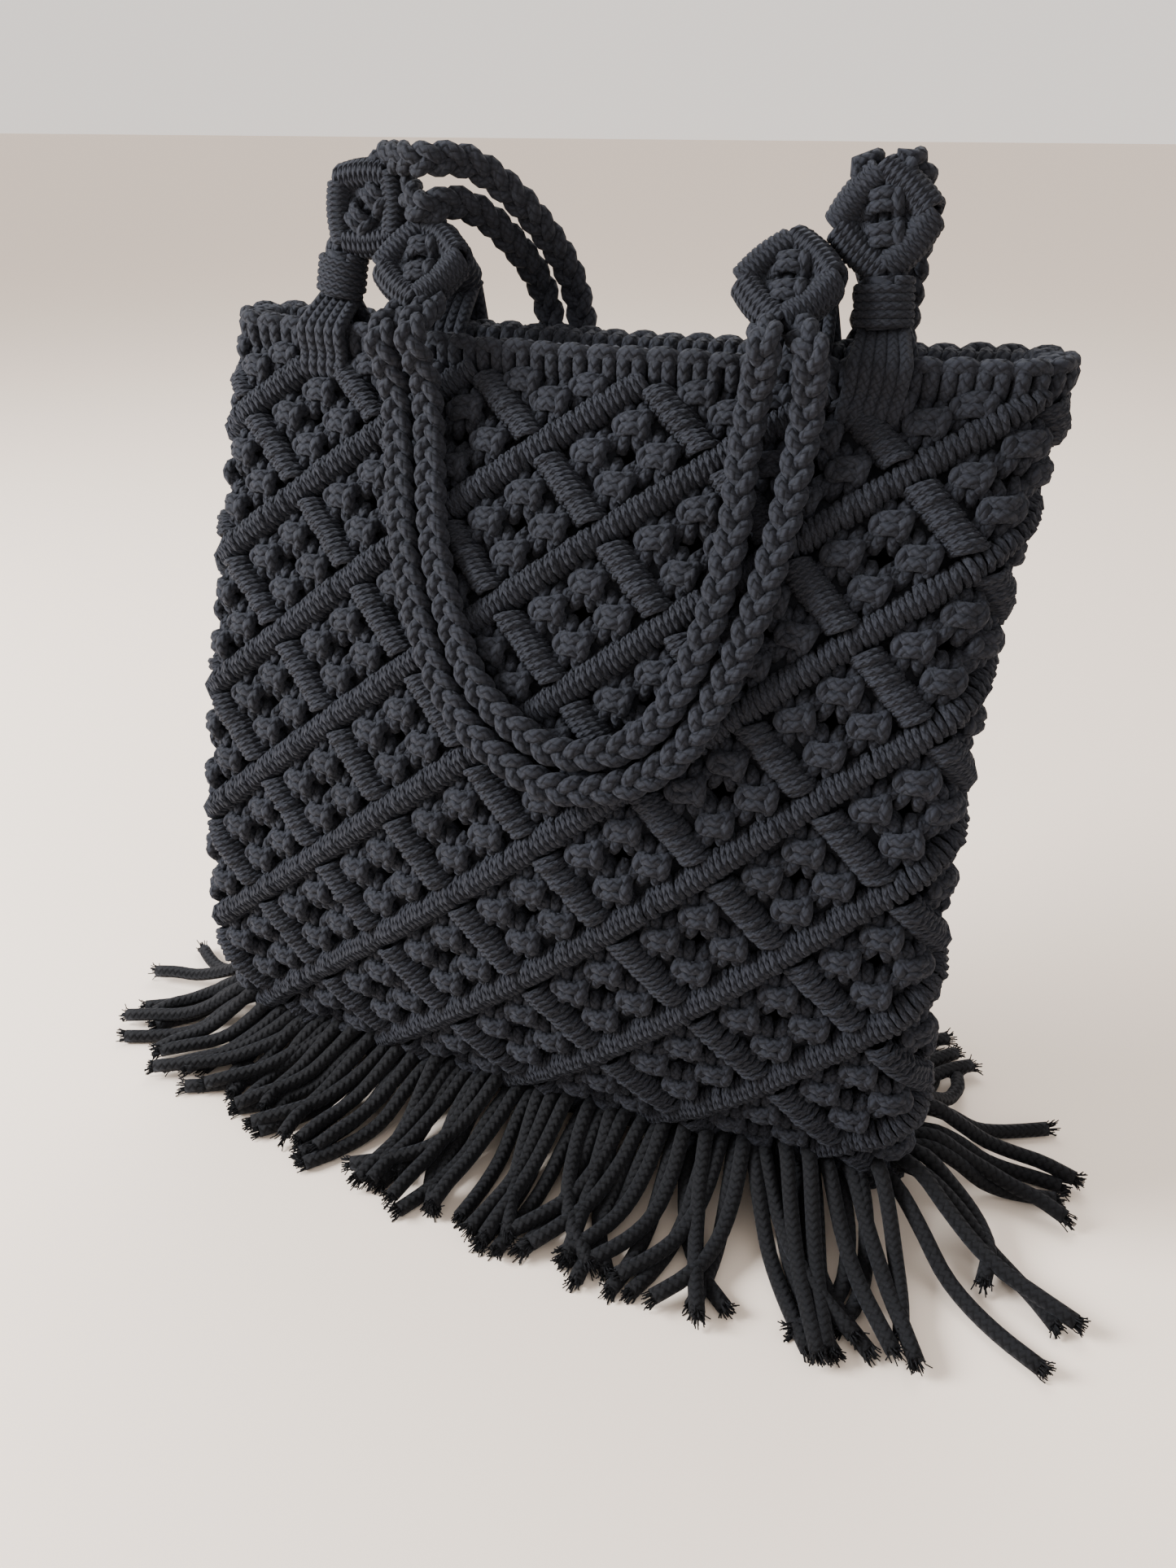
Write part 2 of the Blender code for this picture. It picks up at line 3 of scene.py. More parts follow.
import bpy
import numpy as np
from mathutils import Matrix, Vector


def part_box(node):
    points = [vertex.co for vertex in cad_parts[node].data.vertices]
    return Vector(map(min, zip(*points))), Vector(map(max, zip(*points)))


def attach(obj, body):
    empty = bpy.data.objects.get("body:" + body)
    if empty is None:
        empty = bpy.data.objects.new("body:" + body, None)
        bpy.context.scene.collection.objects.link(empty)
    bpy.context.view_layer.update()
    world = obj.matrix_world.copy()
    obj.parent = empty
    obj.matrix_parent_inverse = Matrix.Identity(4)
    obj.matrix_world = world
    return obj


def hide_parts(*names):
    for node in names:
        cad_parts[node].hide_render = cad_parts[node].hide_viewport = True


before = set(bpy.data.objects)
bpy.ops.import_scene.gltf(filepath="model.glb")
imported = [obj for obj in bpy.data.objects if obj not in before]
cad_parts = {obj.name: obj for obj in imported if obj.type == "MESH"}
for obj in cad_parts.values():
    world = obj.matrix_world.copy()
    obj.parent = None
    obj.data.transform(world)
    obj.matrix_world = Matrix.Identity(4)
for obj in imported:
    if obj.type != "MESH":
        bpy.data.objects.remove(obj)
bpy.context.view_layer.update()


# Table top, light and camera
# The bag stands on a plain pale top in soft light from the front left. The camera
# looks down at it from the front right, as the photograph does.
PHOTO_WIDTH = 1445
FOCAL_PIXELS = 1570.8
SENSOR_WIDTH = 36.0
CAMERA_PLACE = (0.206, -0.4693, 0.4461)
CAMERA_TURN = 22.14
CAMERA_DIP = 27.94

camera_data = bpy.data.cameras.new("photo_camera")
camera_data.sensor_fit = "HORIZONTAL"
camera_data.sensor_width = SENSOR_WIDTH
camera_data.lens = FOCAL_PIXELS * SENSOR_WIDTH / PHOTO_WIDTH
camera_data.clip_start = 0.01
camera = bpy.data.objects.new("photo_camera", camera_data)
camera.location = CAMERA_PLACE
camera.rotation_euler = (math.radians(90 - CAMERA_DIP), 0, math.radians(CAMERA_TURN))
bpy.context.scene.collection.objects.link(camera)
bpy.context.scene.camera = camera

bpy.ops.mesh.primitive_plane_add(size=40, location=(0, 0, 0))
table_top = bpy.context.object
table_top.name = "table_top"
pale_top = bpy.data.materials.new("pale_top")
pale_top.use_nodes = True
pale_top.node_tree.nodes["Principled BSDF"].inputs["Base Color"].default_value = (0.80, 0.70, 0.61, 1)
pale_top.node_tree.nodes["Principled BSDF"].inputs["Roughness"].default_value = 0.85
table_top.data.materials.append(pale_top)


def soft_light(name, place, aim, size, power):
    lamp = bpy.data.lights.new(name, "AREA")
    lamp.shape = "DISK"
    lamp.size = size
    lamp.energy = power
    made = bpy.data.objects.new(name, lamp)
    made.location = place
    made.rotation_euler = (Vector(aim) - Vector(place)).to_track_quat("-Z", "Y").to_euler()
    bpy.context.scene.collection.objects.link(made)


soft_light("window_left", (-1.5, -0.8, 1.1), (0, 0, 0.2), 0.9, 118)
soft_light("fill_right", (1.5, -0.9, 0.8), (0, 0, 0.2), 1.6, 6)
soft_light("top_back", (-0.2, 1.2, 1.8), (0, 0, 0.25), 1.2, 22)
world = bpy.data.worlds.new("room")
world.use_nodes = True
world.node_tree.nodes["Background"].inputs["Color"].default_value = (1.0, 0.925, 0.86, 1)
world.node_tree.nodes["Background"].inputs["Strength"].default_value = 1.30
bpy.context.scene.world = world


# Knotted net
# The bag's wall is one net worked in the round from sixty doubled cords: slanting ribs
# of double half hitches make the diamonds, and four square knots fill each diamond.
HALF_WIDTH = 0.175
NET_HEIGHT = 0.350
HALF_DEPTH = 0.033
EDGE_HALF_DEPTH = 0.016
BELLY_FORWARD = 0.029
TOP_SHIFT = 0.013
ENDS_BACK = 0.008
RIM_SAG = 0.003
FOOT_HEIGHT = 0.007
NET_BASE = 0.0058
COLUMNS = 20
ROWS = 11
SPIRAL = -0.64
ROW_STRETCH = 0.167

# height share, half width share, belly share, half depth share
SECTIONS = (
    (0.00, 0.968, 0.00, 0.56),
    (0.15, 1.000, 0.85, 0.85),
    (0.40, 0.966, 1.00, 1.00),
    (0.70, 0.946, 0.36, 0.79),
    (1.00, 0.982, -0.94, 0.56),
)


def smooth_table(rows, column, share):
    """Value of a table's column at a height share, on a smooth curve through its rows."""
    xs = [row[0] for row in rows]
    ys = [row[column] for row in rows]
    i = min(max(int(np.searchsorted(xs, share, side="left")) - 1, 0), len(xs) - 2)

    def slope(k):
        a = max(k - 1, 0)
        b = min(k + 1, len(xs) - 1)
        return (ys[b] - ys[a]) / (xs[b] - xs[a])

    span = xs[i + 1] - xs[i]
    t = (share - xs[i]) / span
    return (ys[i] * (2 * t ** 3 - 3 * t ** 2 + 1) + ys[i + 1] * (3 * t ** 2 - 2 * t ** 3)
            + span * slope(i) * (t ** 3 - 2 * t ** 2 + t) + span * slope(i + 1) * (t ** 3 - t ** 2))


def bag_outline(share):
    """The bag's outer outline at a height share: x, y and arc length, from the front's middle."""
    half_width = HALF_WIDTH * smooth_table(SECTIONS, 1, share)
    centre = -BELLY_FORWARD * smooth_table(SECTIONS, 2, share)
    depth = HALF_DEPTH * smooth_table(SECTIONS, 3, share)
    straight = half_width - EDGE_HALF_DEPTH
    t = np.linspace(0, 1, 60)
    side_y = -EDGE_HALF_DEPTH - (depth - EDGE_HALF_DEPTH) * (1 - t * t) ** 1.5
    angle = np.linspace(-math.pi / 2, 0, 13)[1:]
    xs = np.concatenate([t * straight, straight + EDGE_HALF_DEPTH * np.cos(angle)])
    ys = np.concatenate([side_y, EDGE_HALF_DEPTH * np.sin(angle)])
    xs = np.concatenate([xs, xs[-2::-1]])
    ys = np.concatenate([ys, -ys[-2::-1]])
    xs = np.concatenate([xs, -xs[-2:0:-1], xs[:1]])
    ys = np.concatenate([ys, ys[-2:0:-1], ys[:1]])
    ys = ys + ENDS_BACK * share * (xs / half_width) ** 2
    arc = np.concatenate([[0], np.cumsum(np.hypot(np.diff(xs), np.diff(ys)))])
    return xs + TOP_SHIFT * share, ys + centre, arc, half_width


GRID_STEPS = 20             # grid steps to a column or row of the net
EXTRA_ROWS = 1              # rows added straight on above the rim and below the foot
UPRIGHT_EDGE = (0.25, 0.25, 1.0)
TABLE_CLEARANCE = 0.0002    # the lowest that any cord comes


def net_grid():
    """Points and outward directions of the wall's face on a fine grid of columns and rows."""
    rows = np.arange(0, ROWS * GRID_STEPS + 1) / GRID_STEPS
    columns = np.arange(0, COLUMNS * GRID_STEPS) / GRID_STEPS
    points = np.zeros((len(rows), len(columns), 3))
    for i, row in enumerate(rows):
        share = row / ROWS
        xs, ys, arc, half_width = bag_outline(share)
        place = ((columns - SPIRAL * share) / COLUMNS) % 1.0 * arc[-1]
        x = np.interp(place, arc, xs)
        y = np.interp(place, arc, ys)
        across = (x - TOP_SHIFT * share) / half_width
        rise = share + ROW_STRETCH * share * (1 - share)
        z = NET_BASE + NET_HEIGHT * rise - RIM_SAG * share ** 3 * (1 - across ** 2)
        points[i] = np.stack([x, y, z], axis=1)
    step_up = (points[-1] - points[-1 - GRID_STEPS // 2]) * UPRIGHT_EDGE
    step_down = points[0] - points[GRID_STEPS // 2]
    extra = np.arange(1, EXTRA_ROWS * GRID_STEPS + 1)[:, None, None] / (GRID_STEPS // 2)
    points = np.concatenate([(points[0] + extra * step_down)[::-1], points, points[-1] + extra * step_up])
    along = np.roll(points, -3, axis=1) - np.roll(points, 3, axis=1)
    up = np.gradient(points, axis=0)
    outward = np.cross(along, up)
    outward /= np.linalg.norm(outward, axis=2, keepdims=True)
    return points, outward


grid_points, grid_outward = net_grid()


def on_net(columns, rows, rise):
    """Points that stand out by rise from the wall's face at the given columns and rows."""
    columns, rows, rise = np.broadcast_arrays(columns, rows, rise)
    u = np.asarray(columns, float) * GRID_STEPS
    v = np.clip((np.asarray(rows, float) + EXTRA_ROWS) * GRID_STEPS, 0, len(grid_points) - 1.001)
    u0 = np.floor(u).astype(int)
    v0 = np.floor(v).astype(int)
    fu = (u - u0)[..., None]
    fv = (v - v0)[..., None]
    u1 = (u0 + 1) % grid_points.shape[1]
    u0 = u0 % grid_points.shape[1]
    result = []
    for grid in (grid_points, grid_outward):
        low = grid[v0, u0] * (1 - fu) + grid[v0, u1] * fu
        high = grid[v0 + 1, u0] * (1 - fu) + grid[v0 + 1, u1] * fu
        result.append(low * (1 - fv) + high * fv)
    return result[0] + result[1] * rise[..., None]


def cord_mesh(name, groups, material, caps=True):
    """One mesh of round cords. A group is (paths, radius, sides): paths is an array of
    cords by points by 3, and radius a number or an array that fits it. The UV map runs
    round the cord in u and along it, in metres, in v."""
    all_points, all_loops, all_starts, all_uvs = [], [], [], []
    point_count = 0
    loop_count = 0
    for paths, radius, sides in groups:
        paths = np.asarray(paths, float)
        count, length = paths.shape[:2]
        radius = np.broadcast_to(np.asarray(radius, float), (count, length))
        ahead = np.gradient(paths, axis=1)
        ahead /= np.linalg.norm(ahead, axis=2, keepdims=True) + 1e-12
        first = ahead[:, 0]
        guide = np.where(np.abs(first[:, 2:3]) < 0.8, [[0.0, 0.0, 1.0]], [[1.0, 0.0, 0.0]])
        side = np.zeros_like(paths)
        current = guide
        for k in range(length):
            current = current - ahead[:, k] * np.sum(current * ahead[:, k], axis=1, keepdims=True)
            current = current / (np.linalg.norm(current, axis=1, keepdims=True) + 1e-12)
            side[:, k] = current
        other = np.cross(ahead, side)
        angle = np.arange(sides) / sides * 2 * math.pi
        ring = (paths[:, :, None] + radius[:, :, None, None]
                * (np.cos(angle)[None, None, :, None] * side[:, :, None]
                   + np.sin(angle)[None, None, :, None] * other[:, :, None]))
        ring[..., 2] = np.maximum(ring[..., 2], TABLE_CLEARANCE)
        index = point_count + np.arange(count * length * sides).reshape(count, length, sides)
        around = np.roll(index, -1, axis=2)
        quads = np.stack([index[:, :-1], around[:, :-1], around[:, 1:], index[:, 1:]], axis=-1).reshape(-1, 4)
        run = np.concatenate([np.zeros((count, 1)),
                              np.cumsum(np.linalg.norm(np.diff(paths, axis=1), axis=2), axis=1)], axis=1)
        shape = (count, length - 1, sides)
        u_low = np.broadcast_to(np.arange(sides) / sides, shape)
        v_low = np.broadcast_to(run[:, :-1, None], shape)
        v_high = np.broadcast_to(run[:, 1:, None], shape)
        uv = np.stack([u_low, v_low, u_low + 1 / sides, v_low, u_low + 1 / sides, v_high, u_low, v_high], axis=-1)
        all_points.append(ring.reshape(-1, 3))
        all_loops.append(quads.reshape(-1))
        all_starts.append(loop_count + 4 * np.arange(len(quads)))
        all_uvs.append(uv.reshape(-1, 2))
        loop_count += 4 * len(quads)
        if caps:
            ends = np.concatenate([index[:, 0, ::-1], index[:, -1]])
            end_run = np.concatenate([run[:, 0], run[:, -1]])
            all_loops.append(ends.reshape(-1))
            all_starts.append(loop_count + sides * np.arange(len(ends)))
            end_u = np.broadcast_to(np.arange(sides) / sides, ends.shape)
            end_v = np.broadcast_to(end_run[:, None], ends.shape)
            all_uvs.append(np.stack([end_u, end_v], axis=-1).reshape(-1, 2))
            loop_count += ends.size
        point_count += count * length * sides
    points = np.concatenate(all_points)
    loops = np.concatenate(all_loops)
    starts = np.concatenate(all_starts)
    mesh = bpy.data.meshes.new(name)
    mesh.vertices.add(len(points))
    mesh.vertices.foreach_set("co", points.ravel())
    mesh.loops.add(len(loops))
    mesh.loops.foreach_set("vertex_index", loops.astype(np.int32))
    mesh.polygons.add(len(starts))
    mesh.polygons.foreach_set("loop_start", starts.astype(np.int32))
    mesh.polygons.foreach_set("use_smooth", np.ones(len(starts), bool))
    uv_layer = mesh.uv_layers.new(name="UVMap")
    uv_layer.data.foreach_set("uv", np.concatenate(all_uvs).ravel())
    mesh.update()
    mesh.validate()
    made = bpy.data.objects.new(name, mesh)
    bpy.context.scene.collection.objects.link(made)
    mesh.materials.append(material)
    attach(made, "root")
    return made


def braided_sleeve_group():
    """Group for a braided cotton sleeve: colour with painted shade in the grooves between strands, roughness and
    height from the cord's UV map.
    """
    group = bpy.data.node_groups.new("braided_sleeve", "ShaderNodeTree")
    face = group.interface
    colour_in = face.new_socket("Cord Colour", in_out="INPUT", socket_type="NodeSocketColor")
    colour_in.default_value = (0.02, 0.02, 0.02, 1)
    lint_in = face.new_socket("Lint Colour", in_out="INPUT", socket_type="NodeSocketColor")
    lint_in.default_value = (0.08, 0.08, 0.08, 1)
    strands_in = face.new_socket("Strands Round", in_out="INPUT", socket_type="NodeSocketFloat")
    strands_in.default_value = 6
    pick_in = face.new_socket("Strands per Metre", in_out="INPUT", socket_type="NodeSocketFloat")
    pick_in.default_value = 300
    face.new_socket("Colour", in_out="OUTPUT", socket_type="NodeSocketColor")
    face.new_socket("Roughness", in_out="OUTPUT", socket_type="NodeSocketFloat")
    face.new_socket("Height", in_out="OUTPUT", socket_type="NodeSocketFloat")
    nodes = group.nodes
    links = group.links
    given = nodes.new("NodeGroupInput")
    out = nodes.new("NodeGroupOutput")

    def maths(operation, first, second=None, third=None):
        made = nodes.new("ShaderNodeMath")
        made.operation = operation
        for slot_index, value in enumerate((first, second, third)):
            if value is None:
                continue
            if isinstance(value, (int, float)):
                made.inputs[slot_index].default_value = value
            else:
                links.new(value, made.inputs[slot_index])
        return made.outputs[0]

    uv_map = nodes.new("ShaderNodeUVMap")
    uv_map.uv_map = "UVMap"
    parts = nodes.new("ShaderNodeSeparateXYZ")
    links.new(uv_map.outputs["UV"], parts.inputs[0])
    round_cord = maths("MULTIPLY", parts.outputs["X"], given.outputs["Strands Round"])
    along_cord = maths("MULTIPLY", parts.outputs["Y"], given.outputs["Strands per Metre"])
    right_hand = maths("ADD", round_cord, along_cord)
    left_hand = maths("SUBTRACT", round_cord, along_cord)
    right_share = maths("FRACT", right_hand)
    left_share = maths("FRACT", left_hand)
    right_ridge = maths("SINE", maths("MULTIPLY", right_share, math.pi))
    left_ridge = maths("SINE", maths("MULTIPLY", left_share, math.pi))
    both = maths("ADD", maths("FLOOR", right_hand), maths("FLOOR", left_hand))
    over = maths("FLOORED_MODULO", both, 2.0)
    ridge = nodes.new("ShaderNodeMix")
    ridge.data_type = "FLOAT"
    links.new(over, ridge.inputs["Factor"])
    links.new(right_ridge, ridge.inputs["A"])
    links.new(left_ridge, ridge.inputs["B"])

    place = nodes.new("ShaderNodeTexCoord")
    fuzz = nodes.new("ShaderNodeTexNoise")
    fuzz.inputs["Scale"].default_value = 900
    fuzz.inputs["Detail"].default_value = 3
    links.new(place.outputs["Object"], fuzz.inputs["Vector"])
    patch = nodes.new("ShaderNodeTexNoise")
    patch.inputs["Scale"].default_value = 26
    patch.inputs["Detail"].default_value = 2
    links.new(place.outputs["Object"], patch.inputs["Vector"])

    # Painted shade: the cord's colour is darkened where the braid's strands dip into their grooves; the large noise
    # patches on top are random worn tone.
    shade = maths("MULTIPLY_ADD", ridge.outputs["Result"], 0.55, 0.45)
    worn = maths("MULTIPLY_ADD", patch.outputs["Fac"], 0.7, 0.65)
    depth = maths("MULTIPLY", shade, worn)
    stray = maths("MAXIMUM", maths("SUBTRACT", fuzz.outputs["Fac"], 0.56), 0.0)
    fibre = maths("MINIMUM", maths("MULTIPLY", stray, 3.0), 1.0)
    tint = nodes.new("ShaderNodeMix")
    tint.data_type = "RGBA"
    links.new(maths("MULTIPLY", fibre, 0.55), tint.inputs["Factor"])
    dark = nodes.new("ShaderNodeVectorMath")
    dark.operation = "SCALE"
    links.new(given.outputs["Cord Colour"], dark.inputs[0])
    links.new(depth, dark.inputs["Scale"])
    links.new(dark.outputs[0], tint.inputs["A"])
    links.new(given.outputs["Lint Colour"], tint.inputs["B"])
    links.new(tint.outputs["Result"], out.inputs["Colour"])
    links.new(maths("MULTIPLY_ADD", fuzz.outputs["Fac"], 0.25, 0.72), out.inputs["Roughness"])
    links.new(maths("MULTIPLY_ADD", fuzz.outputs["Fac"], 0.35, ridge.outputs["Result"]), out.inputs["Height"])
    return group


braided_sleeve = braided_sleeve_group()


def cord_material(name, colour, lint, strands, strands_per_metre, relief):
    """Soft matt braided cotton: the sleeve's strands in relief, with a dusty sheen."""
    made = bpy.data.materials.new(name)
    made.use_nodes = True
    nodes = made.node_tree.nodes
    links = made.node_tree.links
    shader = nodes["Principled BSDF"]
    shader.inputs["Sheen Weight"].default_value = 0.045
    shader.inputs["Sheen Roughness"].default_value = 0.55
    shader.inputs["Sheen Tint"].default_value = (0.55, 0.6, 0.72, 1)
    shader.inputs["Specular IOR Level"].default_value = 0.12
    sleeve = nodes.new("ShaderNodeGroup")
    sleeve.node_tree = braided_sleeve
    sleeve.inputs["Cord Colour"].default_value = (*colour, 1)
    sleeve.inputs["Lint Colour"].default_value = (*lint, 1)
    sleeve.inputs["Strands Round"].default_value = strands
    sleeve.inputs["Strands per Metre"].default_value = strands_per_metre
    bump = nodes.new("ShaderNodeBump")
    bump.inputs["Strength"].default_value = 0.75
    bump.inputs["Distance"].default_value = relief
    links.new(sleeve.outputs["Colour"], shader.inputs["Base Color"])
    links.new(sleeve.outputs["Roughness"], shader.inputs["Roughness"])
    links.new(sleeve.outputs["Height"], bump.inputs["Height"])
    links.new(bump.outputs["Normal"], shader.inputs["Normal"])
    return made


BLACK_CORD = (0.0128, 0.0143, 0.0200)
PALE_LINT = (0.046, 0.049, 0.058)
net_cord = cord_material("net_cord", BLACK_CORD, PALE_LINT, 5, 300, 0.0008)

CORD_RADIUS = 0.0029        # a loose cord of the net
HITCH_RADIUS = 0.00158      # a cord pulled tight in a hitch
HITCHES_ALONG_RIB = 18      # turns of cord side by side on one side of a diamond
RIB_HALF_WIDTH = 0.155      # of a rib, in columns
RIB_CREST = 0.0058          # how far the middle of a turn stands out
RIB_BACK = -0.0075          # how far in a turn goes round the rib's core
HITCH_SLANT = 0.045         # how far a turn leans along the rib, in columns

rng = np.random.default_rng(11)


def hitch_turns(starts, sense, first, last, count):
    """Turns round the ribs that start at crossings and run up, to the right if sense is 1."""
    starts = np.asarray(starts, float)
    shares = first + (last - first) * (np.arange(count) + 0.5) / count
    places = starts[:, None, :] + shares[None, :, None] * np.array([sense, 1.0])
    places = places.reshape(-1, 2)
    angles = np.radians(np.array([-112, -78, -42, 0, 42, 78, 112]))
    wobble = rng.normal(0, 1, (len(places), 3))
    sideways = np.sin(angles)[None, :] * RIB_HALF_WIDTH * (1 + 0.06 * wobble[:, :1])
    lean = (HITCH_SLANT + 0.010 * wobble[:, 1:2]) * np.sin(angles)[None, :] * sense
    half = 1 / math.sqrt(2)
    columns = places[:, :1] + half * (-sense * sideways + sense * lean)
    rows = places[:, 1:] + half * (sideways + lean)
    middle = (RIB_CREST + RIB_BACK) / 2
    rise = middle + (RIB_CREST - middle) * (1 + 0.07 * wobble[:, 2:]) * np.cos(angles)[None, :]
    return on_net(columns, rows, rise)


crossings = [(c, r) for r in range(ROWS) for c in range(COLUMNS) if (c + r) % 2]
right_ribs = hitch_turns(crossings, 1, 0.0, 1.0, HITCHES_ALONG_RIB)
left_ribs = hitch_turns(crossings, -1, 0.13, 0.87, HITCHES_ALONG_RIB - 4)
hitch_swell = HITCH_RADIUS * np.array([0.85, 0.95, 1.03, 1.08, 1.03, 0.95, 0.85])
ribs_up_right = cord_mesh("net_ribs_up_right", [(right_ribs, hitch_swell, 6)], net_cord)
ribs_up_left = cord_mesh("net_ribs_up_left", [(left_ribs, hitch_swell, 6)], net_cord)

SQUARE_KNOT_STEP = 0.39     # from a diamond's middle to each of its knots, in columns and rows
UNIT = 0.0342               # length of a column or row of the net
KNOT_SIZE = 0.93

# One square knot, as cords in millimetres across, up and out from its middle
KNOT_CORDS = (
    # a turn across, low
    ((-6.0, -4.6, -2.5), (-5.0, -2.9, 1.0), (-2.6, -2.1, 3.4), (0.4, -1.8, 4.3), (3.2, -2.2, 3.6),
     (5.2, -3.0, 1.2), (6.0, -4.4, -2.5)),
    # a turn across, high
    ((-6.0, 4.4, -2.5), (-5.1, 3.2, 1.0), (-2.8, 2.5, 3.5), (0.2, 2.6, 4.4), (3.0, 3.0, 3.7),
     (5.0, 3.4, 1.4), (6.0, 4.8, -2.5)),
    # the locking loop down one side
    ((4.2, 6.6, -1.5), (5.0, 4.6, 2.2), (5.3, 2.0, 4.0), (5.2, 0.0, 4.4), (5.2, -2.0, 4.0),
     (4.9, -4.6, 2.2), (4.2, -6.6, -1.5)),
    # the small bump where the other side tucks in
    ((-4.6, 3.4, -1.5), (-5.4, 2.0, 1.4), (-5.7, 0.7, 2.6), (-5.7, 0.0, 2.8), (-5.7, -0.7, 2.6),
     (-5.3, -2.2, 1.4), (-4.6, -3.6, -1.5)),
)
KNOT_LEGS = (
    ((-2.2, 4.6, 0.4), (-2.8, 8.2, 0.6), (-4.2, 12.0, -2.4)),
    ((2.2, 4.6, 0.4), (2.8, 8.2, 0.6), (4.2, 12.0, -2.4)),
    ((-2.2, -4.4, 0.4), (-2.8, -8.0, 0.6), (-4.2, -12.0, -2.4)),
    ((2.2, -4.4, 0.4), (2.8, -8.0, 0.6), (4.2, -12.0, -2.4)),
    ((-4.8, 4.6, -0.4), (-7.6, 7.6, -0.4), (-11.0, 10.4, -2.8)),
    ((4.8, 4.6, -0.4), (7.6, 7.6, -0.4), (11.0, 10.4, -2.8)),
    ((-4.8, -4.4, -0.4), (-7.6, -7.4, -0.4), (-11.0, -10.4, -2.8)),
    ((4.8, -4.4, -0.4), (7.6, -7.4, -0.4), (11.0, -10.4, -2.8)),
)


def knots_on_net(centres, shapes, size):
    """The cords of square knots at the given columns and rows, a little uneven by hand."""
    centres = np.asarray(centres, float)
    shapes = np.asarray(shapes, float) * 0.001 * size
    turn = rng.normal(0, 0.09, len(centres))
    scale = 1 + rng.normal(0, 0.045, len(centres))
    across = shapes[None, ..., 0] * scale[:, None, None]
    up = shapes[None, ..., 1] * scale[:, None, None]
    cos = np.cos(turn)[:, None, None]
    sin = np.sin(turn)[:, None, None]
    columns = centres[:, 0, None, None] + (across * cos - up * sin) / UNIT
    rows = centres[:, 1, None, None] + (across * sin + up * cos) / UNIT
    rise = np.broadcast_to(shapes[None, ..., 2], columns.shape) * scale[:, None, None]
    paths = on_net(columns, rows, rise)
    return paths.reshape(-1, *paths.shape[2:])


knot_places = []
for row in range(ROWS + 1):
    for column in range(COLUMNS):
        if (column + row) % 2:
            continue
        step = SQUARE_KNOT_STEP
        for across, up in ((0, step), (-step, 0), (step, 0), (0, -step)):
            if 0.12 < row + up < ROWS - 0.12:
                knot_places.append((column + across, row + up))
            elif row in (0, ROWS) and across:
                knot_places.append((column + across, row + (0.16 if row == 0 else -0.16)))

knot_places = np.array(knot_places)
half_turn = COLUMNS / 4
knot_radius = CORD_RADIUS * np.array([0.80, 0.94, 1.0, 1.02, 1.0, 0.94, 0.80])
leg_radius = CORD_RADIUS * np.array([0.95, 0.92, 0.85])
is_front = np.abs((knot_places[:, 0] + COLUMNS / 2) % COLUMNS - COLUMNS / 2) <= half_turn
for side_name, chosen in (("front", knot_places[is_front]), ("back", knot_places[~is_front])):
    seed_state = len(chosen)
    rng = np.random.default_rng(seed_state)
    turns = knots_on_net(chosen, KNOT_CORDS, KNOT_SIZE)
    rng = np.random.default_rng(seed_state)
    legs = knots_on_net(chosen, KNOT_LEGS, KNOT_SIZE)
    cord_mesh("net_knots_" + side_name, [(turns, knot_radius, 8), (legs, leg_radius, 6)], net_cord)


# Back of the knots
# Behind the turns and knots lie the cords that they are tied round. They show as a dark,
# uneven layer, which leaves the gap in the middle of each diamond open.
LAYER_DEPTH = 0.0016
LAYER_THICKNESS = 0.0042
GAP_SHARE = 0.15
CORNER_HOLLOW = 0.0022
HOLLOW_SHARE = 0.72


def net_layer():
    """The layer of cores: each diamond is rings of faces from its edge in to its gap."""
    ring = ((0, -1), (0.5, -0.5), (1, 0), (0.5, 0.5), (0, 1), (-0.5, 0.5), (-1, 0), (-0.5, -0.5))
    keys = {}
    places = []
    faces = []

    def point(column, row, rise):
        key = (round(column % COLUMNS, 3), round(row, 3))
        if key not in keys:
            keys[key] = len(places)
            places.append((key[0], key[1], rise))
        return keys[key]

    for row in range(ROWS + 1):
        for column in range(COLUMNS):
            if (column + row) % 2:
                continue
            loops = []
            for share, rise in ((1.0, 0.0), (HOLLOW_SHARE, -LAYER_DEPTH), (0.45, -LAYER_DEPTH),
                                (GAP_SHARE, -LAYER_DEPTH)):
                loop = []
                for across, up in ring:
                    height = row + share * up
                    is_corner = 0 in (across, up)
                    hollow = CORNER_HOLLOW if is_corner and share == HOLLOW_SHARE else 0
                    loop.append(point(column + share * across, min(max(height, 0), ROWS), rise - hollow))
                loops.append(loop)
            for outer, inner in zip(loops, loops[1:]):
                for i in range(8):
                    j = (i + 1) % 8
                    corners = []
                    for index in (outer[i], outer[j], inner[j], inner[i]):
                        if index not in corners:
                            corners.append(index)
                    if len(corners) > 2:
                        faces.append(corners)
    places = np.array(places)
    mesh = bpy.data.meshes.new("net_cores")
    mesh.from_pydata(on_net(places[:, 0], places[:, 1], places[:, 2]).tolist(), [], faces)
    mesh.uv_layers.new(name="UVMap")
    made = bpy.data.objects.new("net_cores", mesh)
    bpy.context.scene.collection.objects.link(made)
    shell = made.modifiers.new("thickness", "SOLIDIFY")
    shell.thickness = LAYER_THICKNESS
    shell.offset = -1
    mesh.shade_smooth()
    mesh.materials.append(net_cord)
    return made


net_cores = net_layer()
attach(net_cores, "root")
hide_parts("bag_wall")


# Rim
# Each doubled cord hangs from a ring of cord along the upper edge in a lark's head: a
# tight bar lies along the top edge, and the cord's two legs drop below it into the net.
HEADS = 60
HEAD_CORD_RADIUS = 0.0030
LEG_SPREAD = 0.0029
BAR_REACH = 0.0047

